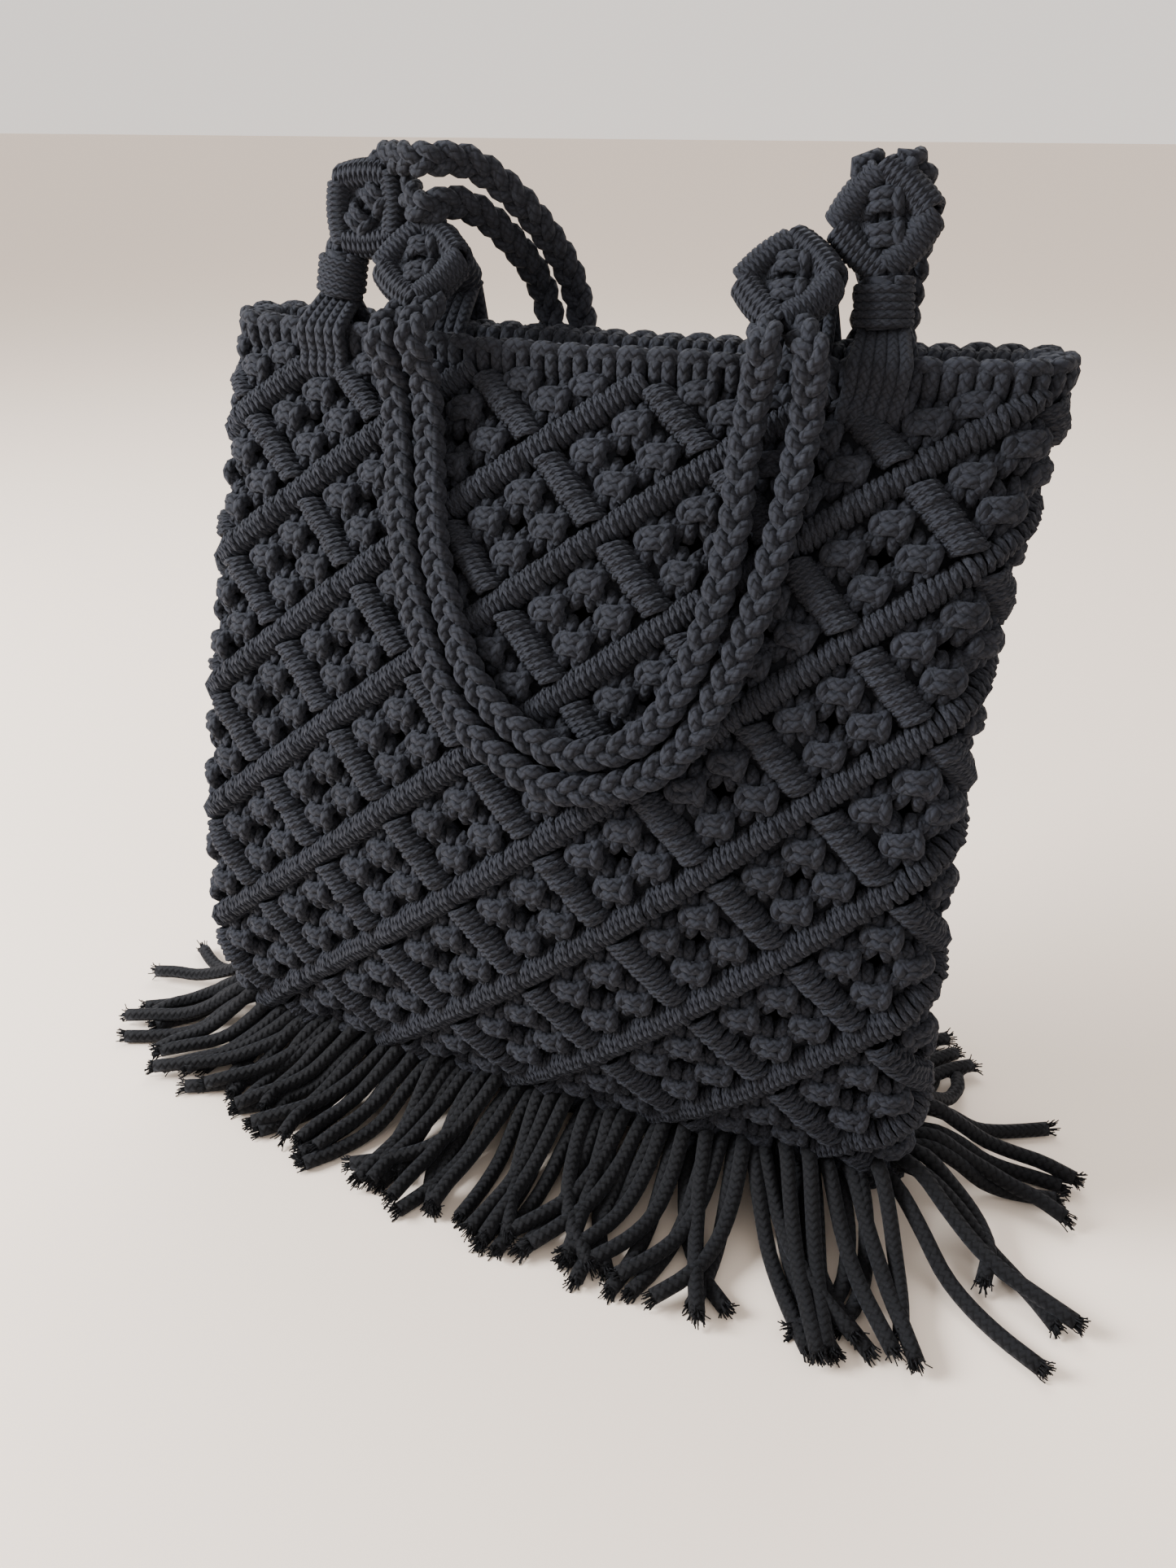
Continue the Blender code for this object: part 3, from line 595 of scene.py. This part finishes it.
# Across, up and out from the net's upper edge, in millimetres
HEAD_LEG = ((1.0, -5.0, -3.0), (1.0, -1.0, 0.8), (1.0, 3.0, 2.6), (1.0, 7.5, 3.2), (1.0, 10.6, 1.8),
            (1.0, 11.6, -2.6), (1.0, 10.6, -7.4), (1.0, 5.0, -9.4), (1.0, -1.0, -8.4))
HEAD_BAR = ((-1.0, 8.6, -0.8), (-0.95, 10.6, 1.8), (-0.5, 12.0, 2.6), (0.0, 12.3, 2.8), (0.5, 12.0, 2.6),
            (0.95, 10.6, 1.8), (1.0, 8.6, -0.8))


def head_paths(shape, reach):
    shape = np.asarray(shape, float)
    heads = (np.arange(HEADS) + 0.5) / HEADS * COLUMNS
    jitter = rng.normal(0, 1, (HEADS, 2))
    columns = heads[:, None] + (shape[None, :, 0] * reach + 0.00035 * jitter[:, :1]) / UNIT
    rows = ROWS + shape[None, :, 1] * 0.001 * (1 + 0.035 * jitter[:, 1:]) / UNIT
    rise = np.broadcast_to(shape[None, :, 2] * 0.001, columns.shape)
    return on_net(columns, rows, rise)


rng = np.random.default_rng(5)
rim_legs = np.concatenate([head_paths(HEAD_LEG, LEG_SPREAD), head_paths(HEAD_LEG, -LEG_SPREAD)])
rim_bars = head_paths(HEAD_BAR, BAR_REACH)
ring_columns = np.linspace(0, COLUMNS, 241)
rim_core = on_net(ring_columns, ROWS + 0.0075 / UNIT, -0.0035)[None]
bar_radius = HEAD_CORD_RADIUS * np.array([0.9, 1.0, 1.06, 1.08, 1.06, 1.0, 0.9])
rim_row = cord_mesh("rim_larks_heads", [(rim_legs, HEAD_CORD_RADIUS, 8), (rim_bars, bar_radius, 8),
                                        (rim_core, 0.0042, 10)], net_cord)
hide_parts("rim_row")


# Tabs
# Four tabs carry the handles. A bundle of cords comes out of the net, passes over the
# rim, is wound tight into a neck and then knotted into a small diamond with a ribbed edge.
LOOP_WIDTH = 0.0215
LOOP_DROP = 0.0142
LOOP_CORDS = 5
LOOP_CORD_RADIUS = 0.0027
WRAP_HEIGHT = 0.018
WRAP_RADIUS = 0.0112
WRAP_FLATNESS = 0.72
WRAP_CORD_RADIUS = 0.0017
TAB_DIAMOND_SIZE = 0.041
EDGE_TURNS = 10
EDGE_BULGE = 0.0015

# name, front or back, neck's length share, neck's two leans, diamond's two leans, in degrees
# forward of upright and towards the bag's middle
TABS = (
    ("left_front", "front", 1.0, -6, 8, -10, 40),
    ("right_front", "front", 1.0, -6, 6, -12, 8),
    ("left_back", "back", 1.9, 52, 2, 140, 10),
    ("right_back", "back", 1.9, 52, 2, 140, -4),
)


def middle_of(node):
    low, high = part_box(node)
    return (np.array(low) + np.array(high)) / 2


def lean_axis(forward, inward, end):
    """Unit vector that leans forward, then towards the bag's middle, from straight up."""
    forward = math.radians(forward)
    inward = math.radians(inward)
    upright = np.array([0, -math.sin(forward), math.cos(forward)])
    made = upright * math.cos(inward) + np.array([-end * math.sin(inward), 0, 0])
    return made / np.linalg.norm(made)


def across_of(axis):
    """Unit vectors across and out of a tab that runs along axis."""
    side = np.array([1.0, 0, 0]) - axis * axis[0]
    side /= np.linalg.norm(side)
    return side, np.cross(side, axis)


def smooth_through(points, count):
    """Count points along a smooth curve through the given points."""
    points = np.asarray(points, float)
    padded = np.concatenate([[2 * points[0] - points[1]], points, [2 * points[-1] - points[-2]]])
    dense = []
    for i in range(len(points) - 1):
        a, b, c, d = padded[i:i + 4]
        for t in np.linspace(0, 1, 16, endpoint=False):
            dense.append(0.5 * (2 * b + (c - a) * t + (2 * a - 5 * b + 4 * c - d) * t ** 2
                                + (3 * b - a - 3 * c + d) * t ** 3))
    dense = np.array(dense + [points[-1]])
    run = np.concatenate([[0], np.cumsum(np.linalg.norm(np.diff(dense, axis=0), axis=1))])
    places = np.linspace(0, run[-1], count)
    return np.stack([np.interp(places, run, dense[:, k]) for k in range(3)], axis=1)


def neck_coil(middle, axis, length):
    """A cord wound round the neck, side by side, from its foot to its top."""
    side, facing = across_of(axis)
    rounds = length / (2.05 * WRAP_CORD_RADIUS)
    turn = np.linspace(0, rounds * 2 * math.pi, int(rounds * 22))
    reach = WRAP_RADIUS - WRAP_CORD_RADIUS
    height = np.linspace(-0.5, 0.5, len(turn)) * (length - 2 * WRAP_CORD_RADIUS)
    return (middle + np.outer(np.cos(turn) * reach, side)
            + np.outer(np.sin(turn) * reach * WRAP_FLATNESS, facing) + np.outer(height, axis))


def bundle_offsets(count, width, depth):
    """Places of the cords of a bundle in its oval section."""
    turn = np.arange(count) / count * 2 * math.pi
    return np.stack([np.cos(turn) * width, np.sin(turn) * depth], axis=1)


def tab_diamond_paths(middle, axis):
    """Turns on the four edges of a tab's diamond and the knots inside, on both faces."""
    side, facing = across_of(axis)
    half = TAB_DIAMOND_SIZE / 2
    rim_turns = []
    knots = []
    legs = []

    def at(across, up, out, face):
        return middle + side * across + axis * up + facing * out * face

    inset = 0.80 * half
    corners = [(0, -inset), (inset, 0), (0, inset), (-inset, 0)]
    angles = np.radians(np.linspace(0, 360, 13))
    for k in range(4):
        start = np.array(corners[k])
        end = np.array(corners[(k + 1) % 4])
        outward = (start + end) / np.linalg.norm(start + end)
        for share in (np.arange(EDGE_TURNS) + 0.5) / EDGE_TURNS:
            place = start + (end - start) * share
            slant = (end - start) / np.linalg.norm(end - start) * 0.0012
            turn = []
            for angle in angles:
                bulge = EDGE_BULGE * math.sin(math.pi * share)
                spot = place + outward * (bulge + 0.0046 * math.cos(angle)) + slant * math.sin(angle)
                turn.append(at(spot[0], spot[1], 0.0054 * math.sin(angle), 1))
            rim_turns.append(turn)
    for face in (1, -1):
        for cx, cy in ((0, 0.0058), (0, -0.0058)):
            for shape in KNOT_CORDS[:3]:
                knots.append([at(cx + x * 0.00105, cy + y * 0.00082, z * 0.00118, face) for x, y, z in shape])
        for sx in (-1, 1):
            for sy in (-1, 1):
                legs.append([at(sx * 0.0030, sy * 0.0030, 0.0012, face), at(sx * 0.0052, sy * 0.0066, 0.0010, face),
                             at(sx * 0.0075, sy * 0.0085, 0.0, face)])
    for x in np.linspace(-0.009, 0.009, 5):
        reach = (inset - abs(x)) * 0.92
        legs.append([at(x, -reach, 0, 1), at(x, 0, 0, 1), at(x, reach, 0, 1)])
    return np.array(rim_turns), np.array(knots), np.array(legs)


def column_of(x, face):
    """Column of the net where the rim lies at x, on the front or on the back."""
    columns = np.linspace(-COLUMNS / 4, COLUMNS / 4, 400) + (0 if face == "front" else COLUMNS / 2) + SPIRAL
    xs = on_net(columns, ROWS, 0)[:, 0]
    return columns[np.argmin(np.abs(xs - x))]


diamond_ends = {}
for name, face, length_share, neck_forward, neck_inward, diamond_forward, diamond_inward in TABS:
    loop_middle = middle_of("tab_loop_" + name)
    end = math.copysign(1, loop_middle[0])
    neck_axis = lean_axis(neck_forward, neck_inward, end)
    diamond_axis = lean_axis(diamond_forward, diamond_inward, end)
    neck_middle = middle_of("tab_wrap_" + name)
    neck_length = WRAP_HEIGHT * length_share
    neck_foot = neck_middle - neck_axis * neck_length / 2
    neck_top = neck_middle + neck_axis * neck_length / 2
    diamond_middle = middle_of("tab_diamond_" + name)
    side, facing = across_of(neck_axis)

    column = column_of(loop_middle[0], face)
    spread = (np.arange(LOOP_CORDS) - (LOOP_CORDS - 1) / 2) / LOOP_CORDS * LOOP_WIDTH
    front_runs = []
    back_runs = []
    for offset in spread:
        here = column + offset / UNIT
        slot_row = ROWS - LOOP_DROP / UNIT
        rim_row_place = ROWS + 0.0135 / UNIT
        gathered = neck_foot + side * offset * 0.8 * (1 if face == "front" else -1)
        spots = [on_net(here, slot_row - 0.02, -0.004), on_net(here, slot_row + 0.08, 0.0042),
                 on_net(here, ROWS - 0.10, 0.0062), on_net(here, ROWS + 0.22, 0.0088),
                 on_net(here, rim_row_place, 0.0078), gathered, gathered + neck_axis * 0.004]
        front_runs.append(smooth_through(spots, 22))
        spots = [on_net(here, slot_row - 0.02, -0.006), on_net(here, slot_row + 0.08, -0.0128),
                 on_net(here, ROWS + 0.20, -0.0145), on_net(here, ROWS + 0.48, -0.0105),
                 gathered + neck_axis * 0.001, gathered + neck_axis * 0.004]
        back_runs.append(smooth_through(spots, 22))
    loop_piece = cord_mesh("tab_cords_" + name, [(np.array(front_runs + back_runs), LOOP_CORD_RADIUS, 8)],
                           net_cord)
    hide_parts("tab_loop_" + name)

    coil = neck_coil(neck_middle, neck_axis, neck_length)
    core = np.stack([neck_foot, neck_middle, neck_top])
    wrap_piece = cord_mesh("tab_neck_" + name, [(coil[None], WRAP_CORD_RADIUS, 8), (core[None], 0.0068, 10)],
                           net_cord)
    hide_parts("tab_wrap_" + name)

    rim_turns, knots, legs = tab_diamond_paths(diamond_middle, diamond_axis)
    near_corner = diamond_middle - diamond_axis * TAB_DIAMOND_SIZE * 0.40
    links_up = []
    for offset in bundle_offsets(7, 0.0056, 0.0030):
        spots = [neck_top - neck_axis * 0.004 + side * offset[0] + facing * offset[1],
                 neck_top + neck_axis * 0.002 + side * offset[0] + facing * offset[1],
                 near_corner + diamond_axis * 0.002 + side * offset[0] * 0.8,
                 near_corner + diamond_axis * 0.007 + side * offset[0] * 1.4]
        links_up.append(smooth_through(spots, 9))
    diamond_piece = cord_mesh("tab_knots_" + name,
                              [(rim_turns, 0.0017, 7), (knots, 0.0024, 8), (legs, 0.0026, 6),
                               (np.array(links_up), 0.0026, 7)], net_cord)
    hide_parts("tab_diamond_" + name)
    diamond_ends[name] = (diamond_middle + diamond_axis * TAB_DIAMOND_SIZE * 0.47, diamond_axis)


# Handles
# Each handle is two flat braids of three cords, side by side. One hangs in a U in front
# of the bag from the back tabs, and the other hangs behind it from the front tabs.
BRAID_RADIUS = 0.0062
BRAID_SPACING = 0.0078
STRAND_RADIUS = 0.00285
STRAND_SWING = 0.0039
STRAND_DEPTH = 0.0019
BRAID_PITCH = 0.027
STAND_OFF = 0.0026

# Share of HALF_WIDTH across from the rim's middle, share of NET_HEIGHT up, stand-off from
# the wall and half the distance between the braids, both in braid radii
FRONT_ROUTE = (
    (-0.417, 1.030, 3.8, 1.15),
    (-0.400, 0.975, 2.4, 1.15),
    (-0.383, 0.920, 1.5, 1.15),
    (-0.314, 0.794, 1.3, 1.12),
    (-0.177, 0.669, 1.3, 1.12),
    (0.000, 0.609, 1.3, 1.12),
    (0.150, 0.600, 1.3, 1.12),
    (0.309, 0.640, 1.3, 1.12),
    (0.405, 0.740, 1.3, 1.15),
    (0.446, 0.849, 1.4, 1.35),
    (0.450, 0.925, 1.5, 1.60),
    (0.460, 0.985, 2.6, 1.60),
    (0.475, 1.045, 4.0, 1.30),
)
BACK_ROUTE = (
    (-0.430, 1.178, -5.6, 1.40),
    (-0.345, 1.178, -3.8, 1.25),
    (-0.262, 1.138, -1.4, 1.15),
    (-0.200, 1.065, 1.4, 1.15),
    (-0.160, 0.970, 1.7, 1.15),
    (-0.130, 0.880, 1.4, 1.15),
    (-0.060, 0.760, 1.3, 1.15),
    (0.060, 0.670, 1.3, 1.15),
    (0.200, 0.640, 1.3, 1.15),
    (0.340, 0.680, 1.3, 1.15),
    (0.450, 0.780, 1.3, 1.15),
    (0.530, 0.900, 1.3, 1.15),
    (0.575, 1.000, 1.7, 1.15),
    (0.590, 1.075, 1.2, 1.15),
    (0.600, 1.140, 0.2, 1.20),
    (0.600, 1.192, -1.3, 1.20),
)


def wall_y(x, z, face):
    """Y of the wall's outer face at a place across and up the bag, front or back."""
    rise = (z - FOOT_HEIGHT) / NET_HEIGHT
    share = 1.0
    if rise < 1:
        share = (1 + ROW_STRETCH - math.sqrt((1 + ROW_STRETCH) ** 2 - 4 * ROW_STRETCH * rise)) / (2 * ROW_STRETCH)
    xs, ys, arc, half_width = bag_outline(share)
    half = len(arc) // 2
    quarter = half // 2
    if face == "front":
        order = np.concatenate([np.arange(half + quarter, len(arc)), np.arange(1, quarter)])
    else:
        order = np.arange(half + quarter, quarter, -1)
    return float(np.interp(x, xs[order], ys[order]))


def beside(travel):
    """Unit vector to the left of a direction of travel, seen from the front."""
    made = np.array([-travel[2], 0, travel[0]])
    return made / np.linalg.norm(made)


def braid_route(route, face, which, start, end):
    """One braid's middle line from tab to tab; which is 1 or -1."""
    facing = -1 if face == "front" else 1
    places = [np.array([HALF_WIDTH * row[0], 0, FOOT_HEIGHT + NET_HEIGHT * row[1]]) for row in route]
    points = [start[0], start[0] + start[1] * BRAID_RADIUS * 0.5]
    for i, (across, up, off, apart) in enumerate(route):
        along = places[min(i + 1, len(route) - 1)] - places[max(i - 1, 0)]
        spot = places[i] + beside(along) * which * apart * BRAID_RADIUS
        x = TOP_SHIFT + spot[0]
        y = wall_y(x, spot[2], face) + facing * (STAND_OFF + off * BRAID_RADIUS)
        points.append(np.array([x, y, spot[2]]))
    points += [end[0] + end[1] * BRAID_RADIUS * 0.3, end[0] - end[1] * BRAID_RADIUS]
    return smooth_through(points, 260)


def braid_strands(line, facing):
    """The three cords of a flat braid along a line, with its broad side to the wall."""
    ahead = np.gradient(line, axis=0)
    ahead /= np.linalg.norm(ahead, axis=1, keepdims=True)
    out = np.array([0, facing, 0.25]) - ahead * (ahead @ np.array([0, facing, 0.25]))[:, None]
    out /= np.linalg.norm(out, axis=1, keepdims=True)
    flat = np.cross(ahead, out)
    run = np.concatenate([[0], np.cumsum(np.linalg.norm(np.diff(line, axis=0), axis=1))])
    strands = []
    for k in range(3):
        turn = 2 * math.pi * (run / BRAID_PITCH + k / 3)
        strands.append(line + flat * (STRAND_SWING * np.sin(turn))[:, None]
                       + out * (STRAND_DEPTH * np.sin(2 * turn))[:, None])
    return np.array(strands)


for face, left_tab, right_tab, route in (("front", "left_back", "right_back", FRONT_ROUTE),
                                         ("back", "left_front", "right_front", BACK_ROUTE)):
    left, left_axis = diamond_ends[left_tab]
    right, right_axis = diamond_ends[right_tab]
    inward = beside(right_axis)
    inward = inward * -math.copysign(1, inward[0])
    for number, which in ((1, 1), (2, -1)):
        start = left + beside(left_axis) * which * BRAID_SPACING * 0.8 - left_axis * 0.003
        finish = right + inward * which * BRAID_SPACING * 0.8 - right_axis * 0.003
        line = braid_route(route, face, which, (start, left_axis), (finish, right_axis))
        strands = braid_strands(line, -1 if face == "front" else 1)
        braid = cord_mesh("handle_%s_%d" % (face, number), [(strands, STRAND_RADIUS, 10)], net_cord)
        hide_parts("handle_braid_%s_%d" % (face, number))


# Foot and fringe
# Below the last ribs the cords are tied together through both sides, which closes the
# bag, and their ends are left long: they arch out over the table, with the tips frayed.
# Painted shade: the fringe, its frayed tips and the foot ties are the net's own black cord, but their colour and
# lint are given about a third of the net's brightness, for the shadow under the bag's belly.
FRINGE_BLACK_IN_PAINTED_SHADE = (0.0046, 0.0048, 0.0060)
fringe_cord = cord_material("fringe_cord", FRINGE_BLACK_IN_PAINTED_SHADE, (0.018, 0.019, 0.022), 5, 270, 0.0007)
FRINGE_CORDS = 164
FRINGE_RADIUS = 0.0035
FRINGE_LENGTH = 0.100
FRINGE_FAN = 0.85
END_SHORTENING = 0.22
FRAY_STRANDS = 28
FRAY_LENGTH = 0.0050
LEFT_SWEEP = 0.75            # how far the front cords at the left lie over to the left

rng = np.random.default_rng(23)
foot_xs, foot_ys, foot_arc, foot_half_width = bag_outline(0.0)
fringe_points = 20
routes = []
for i in range(FRINGE_CORDS):
    place = ((i + 0.5 + rng.uniform(-0.3, 0.3)) / FRINGE_CORDS) % 1.0 * foot_arc[-1]
    step = 0.004
    root = np.array([np.interp(place, foot_arc, foot_xs), np.interp(place, foot_arc, foot_ys)])
    ahead = np.array([np.interp((place + step) % foot_arc[-1], foot_arc, v) for v in (foot_xs, foot_ys)])
    behind = np.array([np.interp((place - step) % foot_arc[-1], foot_arc, v) for v in (foot_xs, foot_ys)])
    along = (ahead - behind) / np.linalg.norm(ahead - behind)
    outward = np.array([along[1], -along[0]])
    across = root[0] / foot_half_width
    is_front_cord = outward[1] < -0.5
    outward = outward + np.array([FRINGE_FAN * across ** 3, 0])
    if is_front_cord and across < 0.25:
        outward = outward + np.array([-LEFT_SWEEP * (0.25 - across) / 1.25, 0])
    outward /= np.linalg.norm(outward)
    sway = 0.13 * math.sin(i * 0.83) + 0.12 * math.sin(i * 0.29 + 1.0) + rng.normal(0, 0.08)
    curl = rng.normal(0, 0.20) - 0.5 * sway
    reach = FRINGE_LENGTH * rng.uniform(0.92, 1.04)
    if is_front_cord:
        reach *= 0.92 + 0.16 * across
    else:
        reach *= 1 - END_SHORTENING * across ** 4
    layer = i % 2
    rest = FRINGE_RADIUS + (0.0052 if layer else 0.0)
    arch = 0.021 + 0.006 * layer + rng.uniform(-0.004, 0.004)
    # share of the reach, height
    profile = ((-0.10, 0.0120), (0.02, 0.0150), (0.12, arch - 0.001), (0.24, arch), (0.40, 0.6 * arch + 0.003),
               (0.56, rest + 0.004), (0.70, rest + 0.0008), (0.85, rest), (1.0, max(rest - 0.002, FRINGE_RADIUS)))
    spots = []
    for share, height in profile:
        bend = sway * max(share, 0) + curl * max(share, 0) ** 2
        heading = outward * math.cos(bend) + along * math.sin(bend)
        spot = root + heading * share * reach
        spots.append((spot[0], spot[1], height))
    routes.append(smooth_through(spots, fringe_points))
routes = np.array(routes)
fringe = cord_mesh("fringe_cords", [(routes, FRINGE_RADIUS, 9)], fringe_cord)
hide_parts("fringe")

tips = routes[:, -1]
headings = routes[:, -1] - routes[:, -2]
headings /= np.linalg.norm(headings, axis=1, keepdims=True)
fray = []
for tip, heading in zip(tips, headings):
    beside_tip = np.cross(heading, [0, 0, 1.0])
    for k in range(FRAY_STRANDS):
        turn = rng.uniform(0, 2 * math.pi)
        spread = rng.uniform(0.2, 1.0) * FRINGE_RADIUS * 0.85
        offset = beside_tip * math.cos(turn) * spread + np.array([0, 0, 1.0]) * math.sin(turn) * spread
        length = FRAY_LENGTH * rng.uniform(0.4, 1.0)
        strand = [tip - heading * 0.002 + offset, tip + heading * length * 0.5 + offset * 1.35,
                  tip + heading * length + offset * rng.uniform(1.2, 2.3)]
        for spot in strand:
            spot[2] = max(spot[2], 0.0004)
        fray.append(strand)
cord_mesh("fringe_frayed_tips", [(np.array(fray), 0.00033, 3)], fringe_cord)

foot_ring = []
for place in (np.arange(48) + 0.5) / 48 * foot_arc[-1]:
    x = np.interp(place, foot_arc, foot_xs)
    y = np.interp(place, foot_arc, foot_ys)
    foot_ring.append([(x * 0.97, y * 0.9, 0.0145), (x * 0.965, y * 0.55, 0.0085), (x * 0.96, y * 0.1, 0.0045),
                      (x * 0.96, -y * 0.1, 0.0045)])
cord_mesh("foot_ties", [(np.array(foot_ring), 0.0036, 8)], fringe_cord)
